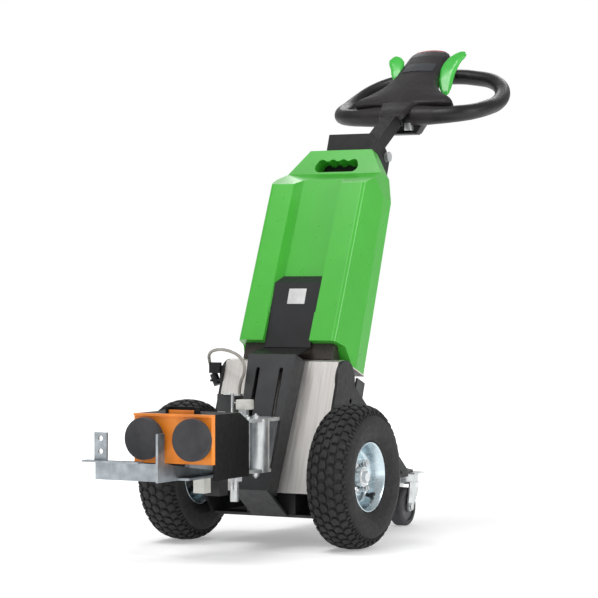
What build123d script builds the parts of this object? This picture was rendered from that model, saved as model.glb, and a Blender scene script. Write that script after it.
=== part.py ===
from build123d import *
import os
from math import cos, radians, sin, sqrt, tan

# A hand-guided electric tow tractor. Millimetres. X is across, -Y is the coupling end, +Y is the
# tiller end, +Z is up. All sizes below are from the point on the floor under the wheel axle;
# the finished pieces are moved so that the origin is under the middle of the whole length.

# Drive wheels
TYRE_R = 130.0
TYRE_W = 85.0
TREAD_FLAT = 50.0
TRACK = 346.0
RIM_R = 63.0
RIM_W = 62.0
BARREL_R = 52.0
RIM_T = 3.0
RIM_DISC_X = 2.0
HUB_R = 24.0
HUB_OUT = 20.0
STUB_R = 12.5
RUNNING_GAP = 0.05
SEAT_GAP = 0.3

# Leaned mast and housing. In the leaned frame y runs back from the axle and z runs up the mast
LEAN = 20.0
BOX_FRONT = -67.0
BOX_TOP_FRONT = 329.0
BOX_TOP_BACK = 339.0
BOX_BOTTOM = 80.0
SKIN_T = 2.0
COLUMN_FRONT = -107.0
COLUMN_TOP = 329.0
COLUMN_BOTTOM = 73.0
COLUMN_HALF_TOP = 49.0
COLUMN_HALF_BOTTOM = 36.0
COLUMN_T = 4.0
SLOT_X = 24.0
SLOT_W = 8.0
SLOT_LOW = 150.0
SLOT_HIGH = 300.0
MAST_FRONT = 50.0
MAST_DEPTH = 40.0
MAST_HALF = 46.0
MAST_T = 4.0
MAST_TOP = 833.0
CHEEK_BACK = 142.0
CHEEK_LOW = 770.0

# Frame
SIDE_IN = 117.0
SIDE_T = 5.0
SHEET_T = 5.0
FLOOR_CLEAR = 50.0
PLATE_FRONT = 5.0
PLATE_BACK = 150.0
CASTOR_PLATE_Z = 104.0
CASTOR_PLATE_FRONT = 235.0
CASTOR_PLATE_BACK = 464.0
CASTOR_PLATE_HALF = 84.0
SIDE_TOP_R = 36.0
SIDE_TOP_Y = 70.0
SIDE_TOP_Z = 298.0
SIDE_TAIL_Y = 336.0
REAR_TOP = 326.0
REAR_FLANGE = 32.0

# Green moulded cover, in the leaned frame
COVER_HALF = 115.0
COVER_BOTTOM = 370.0
COVER_SHOULDER = 690.0
COVER_NECK = 734.0
COVER_TOP = 788.0
FACE_LOW = -66.0
FACE_HIGH = -47.0
NECK_FACE = 12.0
TOP_FACE = 24.0
BACK_LOW = 42.0
BACK_HIGH = MAST_FRONT - SEAT_GAP
RIDGE_X = 100.0
FACET_BACK_LOW = 10.0
FACET_BACK_HIGH = 24.0
NECK_HALF = 100.0
TOP_HALF = 66.0
CHANNEL_EDGE = 50.0
CHANNEL_FLOOR = 41.0
CHANNEL_DEPTH = 20.0
PANEL_HALF = 48.0
PANEL_FACE = -57.0
PANEL_T = 3.0
PANEL_LOW = 359.0
PANEL_FOLD = 486.0
PANEL_TOP = 505.0
LABEL_W = 36.0
LABEL_H = 30.0
LABEL_T = 0.8
LABEL_Z = 459.0
HOLE_HALF = 46.0
HOLE_LOW = 738.0
HOLE_HIGH = 763.0
FINGERS = 4

# Tiller
PIVOT_Y = 396.0
PIVOT_Z = 723.0
PIVOT_R = 6.0
STEM_ANGLE = 33.0
STEM_SIZE = 30.0
STEM_LENGTH = 150.0
COLLAR_START = 130.0
COLLAR_END = 178.0
RING_TUBE_R = 16.0
HEAD_ANGLE = 42.6
HEAD_FOOT_Y = 550.0
HEAD_FOOT_Z = 818.0

# Coupling
KING_Y = -128.0
KING_R = 8.0
KING_LOW = 88.0
FLANGE_LOW = 138.0
FLANGE_HIGH = 234.0
FLANGE_T = 6.0
BRACKET_HALF = 40.0
BRACKET_NOSE = -150.0
GUIDE_X = 25.0
GUIDE_Y = -86.0
GUIDE_R = 20.0
HOUSING_HALF = 76.0
HOUSING_BACK = -212.0
HOUSING_FRONT = -330.0
HOUSING_LOW = 142.0
HOUSING_CORE_LOW = 170.0
HOUSING_HIGH = 253.0
ORANGE_FRONT = -342.0
ORANGE_LOW = 169.0
PAD_R = 36.0
PAD_X = 47.0
PAD_Z = 211.0
PAD_FRONT = -364.0
PAD_T = 13.0
HOOK_FRONT = -397.0
HOOK_LEFT = -120.0
HOOK_RIGHT = 4.0
HOOK_T = 4.0

# Castors
CASTOR_X = 70.0
CASTOR_Y = 440.0
CASTOR_TRAIL = 20.0
CASTOR_R = 37.5
CASTOR_W = 26.0
CASTOR_CORE_R = 27.0
CASTOR_BOLT_R = 4.0
SWIVEL_R = 6.0
SWIVEL_PIN_OUT = 3.0
SWIVEL_HEAD_R = 24.0
SWIVEL_HEAD_LOW = 86.0
FORK_TOP = SWIVEL_HEAD_LOW - SEAT_GAP
FORK_T = 3.0
FORK_IN = 15.0

# Cable and the small parts on the left
CABLE_D = 6.0
GLAND_X = -62.0
GLAND_Z = 262.0
GLAND_OUT = 24.0
SOCKET_X = -138.0
SOCKET_Y = 46.0
SOCKET_Z = 296.0
SOCKET_R = 7.5
SOCKET_LENGTH = 22.0
SOCKET_TILT = 25.0

# The whole length, from the hook's tip to the ring's back
LENGTH_FRONT = -412.0
RING_BACK_Y = 764.0
LENGTH_BACK = RING_BACK_Y + RING_TUBE_R
MIDDLE_Y = (LENGTH_FRONT + LENGTH_BACK) / 2

os.makedirs("parts", exist_ok=True)
built = {}


def keep(name, shape):
    built[name] = shape


def box(x0, x1, y0, y1, z0, z1):
    """A box between two corners."""
    size = Box(x1 - x0, y1 - y0, z1 - z0)
    return Pos((x0 + x1) / 2, (y0 + y1) / 2, (z0 + z1) / 2) * size


def side_profile(points, x0, x1):
    """Extrudes a (y, z) outline across X from x0 to x1."""
    face = make_face(Polyline(*[(0, y, z) for y, z in points], close=True))
    return Pos(x0, 0, 0) * extrude(face, amount=x1 - x0, dir=(1, 0, 0))


def front_profile(points, y0, y1):
    """Extrudes an (x, z) outline along Y from y0 to y1."""
    face = make_face(Polyline(*[(x, 0, z) for x, z in points], close=True))
    return Pos(0, y0, 0) * extrude(face, amount=y1 - y0, dir=(0, 1, 0))


def plan_profile(points, z0, z1):
    """Extrudes an (x, y) outline up from z0 to z1."""
    face = make_face(Polyline(*[(x, y, 0) for x, y in points], close=True))
    return Pos(0, 0, z0) * extrude(face, amount=z1 - z0, dir=(0, 0, 1))


def rod_x(r, x0, x1, y, z):
    return Pos((x0 + x1) / 2, y, z) * Rot(0, 90, 0) * Cylinder(r, x1 - x0)


def rod_y(r, x, y0, y1, z):
    return Pos(x, (y0 + y1) / 2, z) * Rot(90, 0, 0) * Cylinder(r, y1 - y0)


def rod_z(r, x, y, z0, z1):
    return Pos(x, y, (z0 + z1) / 2) * Cylinder(r, z1 - z0)


def hex_z(across, x, y, z0, z1):
    head = extrude(RegularPolygon(across / 2, 6, major_radius=False), amount=z1 - z0)
    return Pos(x, y, z0) * head


def folded(points, thickness):
    """A closed (y, z) outline of a sheet folded along points, its thickness to the left."""
    offset = []
    for i, (y, z) in enumerate(points):
        normals = []
        for a, b in ((i - 1, i), (i, i + 1)):
            if a >= 0 and b < len(points):
                dy = points[b][0] - points[a][0]
                dz = points[b][1] - points[a][1]
                run = sqrt(dy * dy + dz * dz)
                normals.append((-dz / run, dy / run))
        ny = sum(n[0] for n in normals) / len(normals)
        nz = sum(n[1] for n in normals) / len(normals)
        scale = thickness / (ny * ny + nz * nz)
        offset.append((y + ny * scale, z + nz * scale))
    return list(points) + offset[::-1]


# The leaned frame: turned about the axle line on the floor
LEANED = Rot(-LEAN, 0, 0)
LEAN_COS = cos(radians(LEAN))
LEAN_SIN = sin(radians(LEAN))


def lean_y(n, z):
    """Level Y of the leaned plane y = n at height z."""
    return (n + z * LEAN_SIN) / LEAN_COS


def from_lean(n, v):
    """Level (y, z) of a leaned point."""
    return n * LEAN_COS + v * LEAN_SIN, -n * LEAN_SIN + v * LEAN_COS


# Frame


def base_frame():
    """One folded sheet: sloping foot, bottom plate, riser and castor plate."""
    foot_y, foot_z = from_lean(COLUMN_FRONT, COLUMN_BOTTOM)
    foot = side_profile(
        folded([(foot_y, foot_z), (PLATE_FRONT, FLOOR_CLEAR), (PLATE_FRONT + 20, FLOOR_CLEAR)], SHEET_T),
        -COLUMN_HALF_BOTTOM,
        COLUMN_HALF_BOTTOM,
    )
    foot -= LEANED * box(-200, 200, -300, 300, COLUMN_BOTTOM - SEAT_GAP, 500)
    plate = side_profile(
        folded(
            [
                (PLATE_FRONT, FLOOR_CLEAR),
                (PLATE_BACK, FLOOR_CLEAR),
                (CASTOR_PLATE_FRONT, CASTOR_PLATE_Z),
                (CASTOR_PLATE_BACK, CASTOR_PLATE_Z),
            ],
            SHEET_T,
        ),
        -SIDE_IN,
        SIDE_IN,
    )
    corner = 24.0
    outline = plan_profile(
        [
            (-SIDE_IN, PLATE_FRONT - 10),
            (SIDE_IN, PLATE_FRONT - 10),
            (SIDE_IN, SIDE_TAIL_Y),
            (CASTOR_PLATE_HALF + 14, CASTOR_Y - 70),
            (CASTOR_PLATE_HALF, CASTOR_PLATE_BACK - corner),
            (CASTOR_PLATE_HALF - corner, CASTOR_PLATE_BACK),
            (-CASTOR_PLATE_HALF + corner, CASTOR_PLATE_BACK),
            (-CASTOR_PLATE_HALF, CASTOR_PLATE_BACK - corner),
            (-CASTOR_PLATE_HALF - 14, CASTOR_Y - 70),
            (-SIDE_IN, SIDE_TAIL_Y),
        ],
        0,
        200,
    )
    keep("base_frame", foot + (plate & outline))


def side_plates():
    """Rounded top, front edge along the lean, tail down to the castor plate."""
    low_y = lean_y(BOX_FRONT, FLOOR_CLEAR + 50)
    top_front = from_lean(BOX_FRONT, BOX_TOP_FRONT - 30)
    points = [
        (low_y, FLOOR_CLEAR + 50),
        (PLATE_FRONT, FLOOR_CLEAR),
        (PLATE_BACK, FLOOR_CLEAR),
        (CASTOR_PLATE_FRONT, CASTOR_PLATE_Z),
        (SIDE_TAIL_Y, CASTOR_PLATE_Z),
        (SIDE_TAIL_Y, CASTOR_PLATE_Z + 12),
        (SIDE_TOP_Y + SIDE_TOP_R, SIDE_TOP_Z - 12),
        (SIDE_TOP_Y + SIDE_TOP_R, SIDE_TOP_Z),
        (top_front[0], top_front[1]),
    ]
    for side, x0 in (("left", -SIDE_IN - SIDE_T), ("right", SIDE_IN)):
        plate = side_profile(points, x0, x0 + SIDE_T)
        plate += rod_x(SIDE_TOP_R, x0, x0 + SIDE_T, SIDE_TOP_Y, SIDE_TOP_Z)
        plate -= rod_x(STUB_R + SEAT_GAP, x0 - 1, x0 + SIDE_T + 1, 0, TYRE_R)
        plate -= rod_x(4.5, x0 - 1, x0 + SIDE_T + 1, 88, 259)
        keep(f"side_plate_{side}", plate)


def rear_panel():
    """Back plate with two side flanges, along the lean."""
    back = MAST_FRONT - SEAT_GAP
    panel = box(-SIDE_IN + SEAT_GAP, SIDE_IN - SEAT_GAP, back - 4, back, 100, REAR_TOP)
    for side in (-1, 1):
        inner = side * (SIDE_IN - SEAT_GAP - 4)
        outer = side * (SIDE_IN - SEAT_GAP)
        panel += box(min(inner, outer), max(inner, outer), back - REAR_FLANGE, back, 100, REAR_TOP)
    panel = LEANED * panel
    panel -= box(-200, 200, -100, 400, 0, FLOOR_CLEAR + SHEET_T + SEAT_GAP)
    keep("rear_panel", panel)


def mast():
    """U channel behind the cover, open to the back, with cheeks for the tiller's pivot."""
    back = MAST_FRONT + MAST_DEPTH
    channel = box(-MAST_HALF, MAST_HALF, MAST_FRONT, back, 40, MAST_TOP)
    channel -= box(
        -MAST_HALF + MAST_T, MAST_HALF - MAST_T, MAST_FRONT + MAST_T, back + 1, 0, MAST_TOP + 1
    )
    cheek = side_profile(
        [
            (back - 1, CHEEK_LOW - 40),
            (CHEEK_BACK, CHEEK_LOW),
            (CHEEK_BACK, MAST_TOP - 14),
            (back + 20, MAST_TOP),
            (back - 1, MAST_TOP),
        ],
        -MAST_HALF,
        MAST_HALF,
    )
    cheek -= box(-MAST_HALF + MAST_T, MAST_HALF - MAST_T, 0, 300, 0, 900)
    whole = LEANED * (channel + cheek)
    whole -= rod_x(PIVOT_R + RUNNING_GAP, -100, 100, PIVOT_Y, PIVOT_Z)
    whole -= box(-200, 200, -100, 400, -100, FLOOR_CLEAR + SHEET_T)
    keep("rear_mast", whole)


def front_column():
    """Tapered U channel on the box's front, with two slots."""
    outer = front_profile(
        [
            (-COLUMN_HALF_BOTTOM, COLUMN_BOTTOM),
            (COLUMN_HALF_BOTTOM, COLUMN_BOTTOM),
            (COLUMN_HALF_TOP, COLUMN_TOP),
            (-COLUMN_HALF_TOP, COLUMN_TOP),
        ],
        COLUMN_FRONT,
        BOX_FRONT - SEAT_GAP,
    )
    inner = front_profile(
        [
            (-COLUMN_HALF_BOTTOM + COLUMN_T, COLUMN_BOTTOM - 1),
            (COLUMN_HALF_BOTTOM - COLUMN_T, COLUMN_BOTTOM - 1),
            (COLUMN_HALF_TOP - COLUMN_T, COLUMN_TOP - COLUMN_T),
            (-COLUMN_HALF_TOP + COLUMN_T, COLUMN_TOP - COLUMN_T),
        ],
        COLUMN_FRONT + COLUMN_T,
        BOX_FRONT + 1,
    )
    column = outer - inner
    for x in (-SLOT_X, SLOT_X):
        column -= box(
            x - SLOT_W / 2, x + SLOT_W / 2, COLUMN_FRONT - 1, COLUMN_FRONT + COLUMN_T + 1, SLOT_LOW, SLOT_HIGH
        )
        for z in (SLOT_LOW, SLOT_HIGH):
            column -= rod_y(SLOT_W / 2, x, COLUMN_FRONT - 1, COLUMN_FRONT + COLUMN_T + 1, z)
    keep("front_column", LEANED * column)


def box_skin():
    """Stainless sheet: front, sloping shoulder and top, under the cover."""
    sheet = side_profile(
        folded(
            [
                (MAST_FRONT - 6, BOX_TOP_BACK),
                (BOX_FRONT + 20, BOX_TOP_BACK),
                (BOX_FRONT, BOX_TOP_FRONT),
                (BOX_FRONT, BOX_BOTTOM),
            ],
            SKIN_T,
        ),
        -SIDE_IN + SEAT_GAP,
        SIDE_IN - SEAT_GAP,
    )
    keep("box_skin", LEANED * sheet)


def drive_unit():
    """The heavy transaxle as one plain block, with its axle tube and stub axles."""
    block = box(-50, 50, 8, 64, FLOOR_CLEAR + SHEET_T + SEAT_GAP, 190)
    block += rod_x(19, -SIDE_IN + SEAT_GAP, SIDE_IN - SEAT_GAP, 0, TYRE_R)
    stub_end = TRACK / 2 + HUB_OUT - 6
    block += rod_x(STUB_R, -stub_end, stub_end, 0, TYRE_R)
    keep("drive_unit", block)


def battery():
    """The batteries as one plain block on the stainless box's top, inside the cover."""
    low = BOX_TOP_BACK + SEAT_GAP
    block = box(-80, 80, -20, 30, low, COVER_BOTTOM + 220)
    ledge = COVER_BOTTOM - SEAT_GAP
    block += side_profile([(-50, low), (-8, low), (-34, ledge), (-50, ledge)], -92, 92)
    keep("battery_pack", LEANED * block)


# Wheels


def revolve_x(points, x):
    """Revolves an (x, r) outline about the axle."""
    face = make_face(Polyline(*[(px, pr, 0) for px, pr in points], close=True))
    return Pos(x, 0, TYRE_R) * revolve(face, axis=Axis.X)


def drive_wheels():
    half = TYRE_W / 2
    flat = TREAD_FLAT / 2
    seat = RIM_W / 2 - 4
    for side, sign in (("left", -1), ("right", 1)):
        x = sign * TRACK / 2
        crown = ThreePointArc((-flat, TYRE_R - 4), (0, TYRE_R), (flat, TYRE_R - 4))
        shoulder = ThreePointArc((flat, TYRE_R - 4), (half - 5, TYRE_R - 16), (half, TYRE_R - 33))
        bead = (RIM_W / 2, RIM_R + SEAT_GAP)
        wall = ThreePointArc((half, TYRE_R - 33), (half - 3, RIM_R + 14), bead)
        ledge = Line(bead, (seat, RIM_R + SEAT_GAP))
        base = Line((seat, RIM_R + SEAT_GAP), (seat, BARREL_R + SEAT_GAP))
        under = Line((seat, BARREL_R + SEAT_GAP), (-seat, BARREL_R + SEAT_GAP))
        arcs = [crown, shoulder, wall, ledge, base]
        mirrored = [mirror(e, Plane.YZ) for e in (shoulder, wall, ledge, base)]
        face = make_face(arcs + mirrored + [under])
        tyre = Pos(x, 0, TYRE_R) * revolve(face, axis=Axis.X)
        keep(f"tyre_{side}", tyre)

        edge = RIM_W / 2
        rim = revolve_x(
            [
                (-edge, BARREL_R - RIM_T),
                (edge, BARREL_R - RIM_T),
                (edge, RIM_R),
                (edge - 3.5, RIM_R),
                (edge - 3.5, BARREL_R),
                (-edge + 3.5, BARREL_R),
                (-edge + 3.5, RIM_R),
                (-edge, RIM_R),
            ],
            x,
        )
        disc_x = x + sign * RIM_DISC_X
        disc = rod_x(BARREL_R - 1, min(disc_x, disc_x + sign * RIM_T), max(disc_x, disc_x + sign * RIM_T), 0, TYRE_R)
        disc -= rod_x(HUB_R - 6, x - 60, x + 60, 0, TYRE_R)
        for hole in PolarLocations(38, 6):
            spot = hole.position
            disc -= rod_x(5, x - 60, x + 60, spot.X, TYRE_R + spot.Y)
        keep(f"rim_{side}", rim + disc)

        inner_x = sign * (SIDE_IN + SIDE_T + SEAT_GAP)
        outer_x = x + sign * HUB_OUT
        hub = rod_x(HUB_R - 6 - SEAT_GAP, min(inner_x, outer_x), max(inner_x, outer_x), 0, TYRE_R)
        flange_x = disc_x - sign * SEAT_GAP
        back_x = flange_x - sign * 6
        hub += rod_x(HUB_R + 8, min(flange_x, back_x), max(flange_x, back_x), 0, TYRE_R)
        end_x = outer_x - sign * 4
        hub -= rod_x(STUB_R + RUNNING_GAP, min(0, end_x), max(0, end_x), 0, TYRE_R)
        keep(f"hub_{side}", hub)


# Castors


def castors():
    for side, sign in (("left", -1), ("right", 1)):
        x = sign * CASTOR_X
        top = box(x - 28, x + 28, CASTOR_Y - 23, CASTOR_Y + 23, CASTOR_PLATE_Z - 3, CASTOR_PLATE_Z)
        top += rod_z(SWIVEL_HEAD_R, x, CASTOR_Y, SWIVEL_HEAD_LOW, CASTOR_PLATE_Z - 3)
        top += rod_z(SWIVEL_R, x, CASTOR_Y, FORK_TOP - FORK_T - SWIVEL_PIN_OUT, SWIVEL_HEAD_LOW)
        keep(f"castor_top_{side}", top)

        axle_y = CASTOR_Y - CASTOR_TRAIL
        outer = FORK_IN + FORK_T
        fork = rod_z(SWIVEL_HEAD_R - 1, x, CASTOR_Y, FORK_TOP - FORK_T, FORK_TOP)
        leg = side_profile(
            [
                (CASTOR_Y - 22, FORK_TOP),
                (CASTOR_Y + 20, FORK_TOP),
                (CASTOR_Y + 16, 66),
                (axle_y + 9, CASTOR_R - 6),
                (axle_y - 9, CASTOR_R - 6),
                (axle_y - 9, CASTOR_R + 12),
            ],
            x - outer,
            x + outer,
        )
        leg += rod_x(9, x - outer, x + outer, axle_y, CASTOR_R)
        leg -= box(x - FORK_IN, x + FORK_IN, CASTOR_Y - 100, CASTOR_Y + 100, 0, FORK_TOP - FORK_T)
        fork += leg
        fork += rod_x(CASTOR_BOLT_R, x - outer - 4, x + outer + 4, axle_y, CASTOR_R)
        fork += rod_x(7, x + outer, x + outer + 4, axle_y, CASTOR_R)
        fork += rod_x(7, x - outer - 4, x - outer, axle_y, CASTOR_R)
        fork -= rod_z(SWIVEL_R + RUNNING_GAP, x, CASTOR_Y, 50, 100)
        keep(f"castor_fork_{side}", fork)

        half = CASTOR_W / 2
        core = rod_x(CASTOR_CORE_R - SEAT_GAP, x - half + 3, x + half - 3, axle_y, CASTOR_R)
        core += rod_x(10, x - FORK_IN + 0.5, x + FORK_IN - 0.5, axle_y, CASTOR_R)
        core -= rod_x(CASTOR_BOLT_R + RUNNING_GAP, x - 40, x + 40, axle_y, CASTOR_R)
        keep(f"castor_core_{side}", core)
        face = make_face(
            [
                Line((-half, CASTOR_CORE_R, 0), (half, CASTOR_CORE_R, 0)),
                Line((half, CASTOR_CORE_R, 0), (half, CASTOR_R - 5, 0)),
                ThreePointArc((half, CASTOR_R - 5, 0), (half - 1.5, CASTOR_R - 1.5, 0), (half - 5, CASTOR_R, 0)),
                Line((half - 5, CASTOR_R, 0), (-half + 5, CASTOR_R, 0)),
                ThreePointArc((-half + 5, CASTOR_R, 0), (-half + 1.5, CASTOR_R - 1.5, 0), (-half, CASTOR_R - 5, 0)),
                Line((-half, CASTOR_R - 5, 0), (-half, CASTOR_CORE_R, 0)),
            ]
        )
        keep(f"castor_tyre_{side}", Pos(x, axle_y, CASTOR_R) * revolve(face, axis=Axis.X))


# Cover and panel


def cover():
    """The moulded housing: wedge side view, octagonal front view, side facets and channel."""
    side_view = [
        (FACE_LOW, COVER_BOTTOM),
        (FACE_HIGH, COVER_SHOULDER),
        (NECK_FACE, COVER_NECK),
        (TOP_FACE, COVER_TOP),
        (BACK_HIGH, COVER_TOP),
        (BACK_HIGH, COVER_NECK),
        (BACK_LOW, COVER_BOTTOM - 30),
        (FACE_LOW + 64, COVER_BOTTOM - 30),
        (FACE_LOW + 34, COVER_BOTTOM),
    ]
    front_view = [
        (-COVER_HALF, COVER_BOTTOM - 30),
        (COVER_HALF, COVER_BOTTOM - 30),
        (COVER_HALF - 3, COVER_SHOULDER - 4),
        (NECK_HALF, COVER_NECK),
        (TOP_HALF, COVER_TOP),
        (-TOP_HALF, COVER_TOP),
        (-NECK_HALF, COVER_NECK),
        (-COVER_HALF + 3, COVER_SHOULDER - 4),
    ]
    body = side_profile(side_view, -COVER_HALF, COVER_HALF) & front_profile(front_view, -100, 100)
    for sign in (-1, 1):
        low = Vector(sign * RIDGE_X, FACE_LOW, COVER_BOTTOM)
        high = Vector(sign * RIDGE_X, FACE_HIGH, COVER_SHOULDER)
        back = Vector(sign * COVER_HALF, FACET_BACK_LOW, COVER_BOTTOM)
        normal = (high - low).cross(back - low)
        if normal.X * sign < 0:
            normal = normal * -1
        facet = Plane(origin=low, z_dir=normal)
        body = split(body, bisect_by=facet, keep=Keep.BOTTOM)
    ridges = [
        e
        for e in body.edges()
        if e.length > 200 and abs(abs(e.center().X) - RIDGE_X) < 8 and e.center().Y < -20
    ]
    body = fillet(ridges, 9)

    face_rise = (FACE_HIGH - FACE_LOW) / (COVER_SHOULDER - COVER_BOTTOM)

    def channel_section(z, proud):
        face = FACE_LOW + (z - COVER_BOTTOM) * face_rise
        wide = CHANNEL_EDGE + (CHANNEL_EDGE - CHANNEL_FLOOR) * proud / CHANNEL_DEPTH
        return make_face(
            Polyline(
                (-wide, face - proud, z),
                (-CHANNEL_FLOOR, face + CHANNEL_DEPTH, z),
                (CHANNEL_FLOOR, face + CHANNEL_DEPTH, z),
                (wide, face - proud, z),
                close=True,
            )
        )

    proud = 10.0
    channel_top = COVER_SHOULDER + 22
    channel = loft([channel_section(PANEL_FOLD - 60, proud), channel_section(channel_top, proud)], ruled=True)
    body -= channel
    pocket_half = PANEL_HALF + SEAT_GAP
    body -= side_profile(folded(panel_line(), PANEL_T + SEAT_GAP), -pocket_half, pocket_half)
    body -= box(-pocket_half, pocket_half, -120, PANEL_FACE + 1, COVER_BOTTOM - 40, PANEL_FOLD)
    body -= box(-81, 81, -20.5, 30.5, 0, COVER_BOTTOM + 221)
    mid = (HOLE_LOW + HOLE_HIGH) / 2
    radius = (HOLE_HIGH - HOLE_LOW) / 2
    hole = box(-HOLE_HALF + radius, HOLE_HALF - radius, -60, 80, HOLE_LOW, HOLE_HIGH)
    for x in (-HOLE_HALF + radius, HOLE_HALF - radius):
        hole += rod_y(radius, x, -60, 80, mid)
    pitch = 2 * (HOLE_HALF - radius) / (FINGERS - 1)
    for i in range(FINGERS):
        hole += rod_y(pitch * 0.44, -HOLE_HALF + radius + i * pitch, -60, 80, HOLE_HIGH - 6)
    body -= hole
    keep("cover", LEANED * body)


def panel_line():
    """The front panel's own fold line: lip down to the channel floor, then the flat."""
    rise = (FACE_HIGH - FACE_LOW) / (COVER_SHOULDER - COVER_BOTTOM)
    floor_y = FACE_LOW + (PANEL_TOP - COVER_BOTTOM) * rise + CHANNEL_DEPTH
    return [(floor_y - 2, PANEL_TOP), (PANEL_FACE, PANEL_FOLD), (PANEL_FACE, PANEL_LOW)]


def front_panel():
    flat = side_profile(folded(panel_line(), PANEL_T), -PANEL_HALF, PANEL_HALF)
    keep("front_panel", LEANED * flat)
    label = box(
        3 - LABEL_W / 2,
        3 + LABEL_W / 2,
        PANEL_FACE - LABEL_T,
        PANEL_FACE,
        LABEL_Z - LABEL_H / 2,
        LABEL_Z + LABEL_H / 2,
    )
    keep("blank_plate", LEANED * label)


# Tiller


def tiller():
    bolt = rod_x(PIVOT_R, -MAST_HALF - 8, MAST_HALF + 8, PIVOT_Y, PIVOT_Z)
    for sign in (-1, 1):
        x0 = sign * (MAST_HALF + SEAT_GAP)
        x1 = sign * (MAST_HALF + 8)
        bolt += rod_x(10, min(x0, x1), max(x0, x1), PIVOT_Y, PIVOT_Z)
        x0 = sign * (STEM_SIZE / 2 + SEAT_GAP)
        x1 = sign * (MAST_HALF - MAST_T - SEAT_GAP)
        bolt += rod_x(11, min(x0, x1), max(x0, x1), PIVOT_Y, PIVOT_Z)
    keep("pivot_bolt", bolt)

    half = STEM_SIZE / 2
    place = Pos(0, PIVOT_Y, PIVOT_Z) * Rot(STEM_ANGLE, 0, 0)
    stem = box(-half, half, 0, STEM_LENGTH, -half, half)
    stem += rod_x(half, -half, half, 0, 0)
    stem -= box(-half + 3, half - 3, half + 4, STEM_LENGTH + 1, -half + 3, half - 3)
    stem -= rod_x(PIVOT_R + RUNNING_GAP, -50, 50, 0, 0)
    keep("stem", place * stem)
    pocket = place * box(
        -half - SEAT_GAP, half + SEAT_GAP, 0, STEM_LENGTH + SEAT_GAP, -half - SEAT_GAP, half + SEAT_GAP
    )

    # Ring: corner points of one half, from the front middle to the back middle: x, y, z, radius
    half_ring = [
        (62, 556, 813, 60),
        (148, 584, 818, 70),
        (178, 656, 838, 60),
        (150, 728, 878, 60),
        (62, RING_BACK_Y, 909, 70),
    ]
    points = [(x, y, z) for x, y, z, r in half_ring]
    points += [(-x, y, z) for x, y, z, r in reversed(half_ring)]
    radii = [r for x, y, z, r in half_ring]
    radii += radii[::-1]
    path = FilletPolyline(*points, radius=radii, close=True)
    start = path @ 0
    direction = path % 0
    section = Plane(origin=start, z_dir=direction) * Circle(RING_TUBE_R)
    ring = sweep(section, path=path)
    grown = sweep(Plane(origin=start, z_dir=direction) * Circle(RING_TUBE_R + SEAT_GAP), path=path)
    keep("tiller_ring", ring)

    # Head in its own plane: h runs up the face, z stands out of it
    side_view = [
        (-17, -4),
        (-6, 3),
        (206, 3),
        (222, -6),
        (241, -75),
        (224, -94),
        (192, -84),
        (120, -58),
        (32, -52),
        (1, -36),
        (-19, -15),
    ]
    front_view = [
        (-104, -30),
        (104, -30),
        (106, 22),
        (78, 44),
        (60, 84),
        (56, 140),
        (50, 190),
        (38, 250),
        (-38, 250),
        (-50, 190),
        (-56, 140),
        (-60, 84),
        (-78, 44),
        (-106, 22),
    ]
    head_place = Pos(0, HEAD_FOOT_Y, HEAD_FOOT_Z) * Rot(HEAD_ANGLE, 0, 0)
    outline = make_face(Polyline(*[(x, h, 0) for x, h in front_view], close=True))
    head = side_profile(side_view, -110, 110) & extrude(outline, amount=200, both=True)
    head -= box(-28, 28, 146, 172, 3 - 1.2, 10)
    head -= box(-36, 36, 190, 203, 3 - 4, 10)
    head = head_place * head
    head -= grown
    collar = box(-24, 24, COLLAR_START, COLLAR_END, -half - 9, half + 9)
    collar -= box(
        -half - SEAT_GAP,
        half + SEAT_GAP,
        0,
        STEM_LENGTH + SEAT_GAP,
        -half - SEAT_GAP,
        half + SEAT_GAP,
    )
    collar = place * collar
    head = max((head - pocket).solids(), key=lambda s: s.volume)
    keep("tiller_head", head)
    collar = collar - head - grown
    keep("head_mount", max(collar.solids(), key=lambda s: s.volume))

    strip = box(-36 + SEAT_GAP, 36 - SEAT_GAP, 190 + SEAT_GAP, 203 - SEAT_GAP, -1, 6)
    keep("switch_strip", head_place * strip)

    lever_outline = [
        (50, 128),
        (66, 120),
        (80, 134),
        (84, 160),
        (94, 186),
        (104, 200),
        (98, 210),
        (84, 206),
        (70, 190),
        (50, 170),
    ]
    for side, sign in (("left", -1), ("right", 1)):
        face = make_face(Polyline(*[(sign * x, h, 0) for x, h in lever_outline], close=True))
        lever = Pos(0, 0, -34) * extrude(face, amount=16, dir=(0, 0, 1))
        lever = head_place * lever - grown - head
        keep(f"thumb_lever_{side}", max(lever.solids(), key=lambda s: s.volume))


# Coupling


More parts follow.
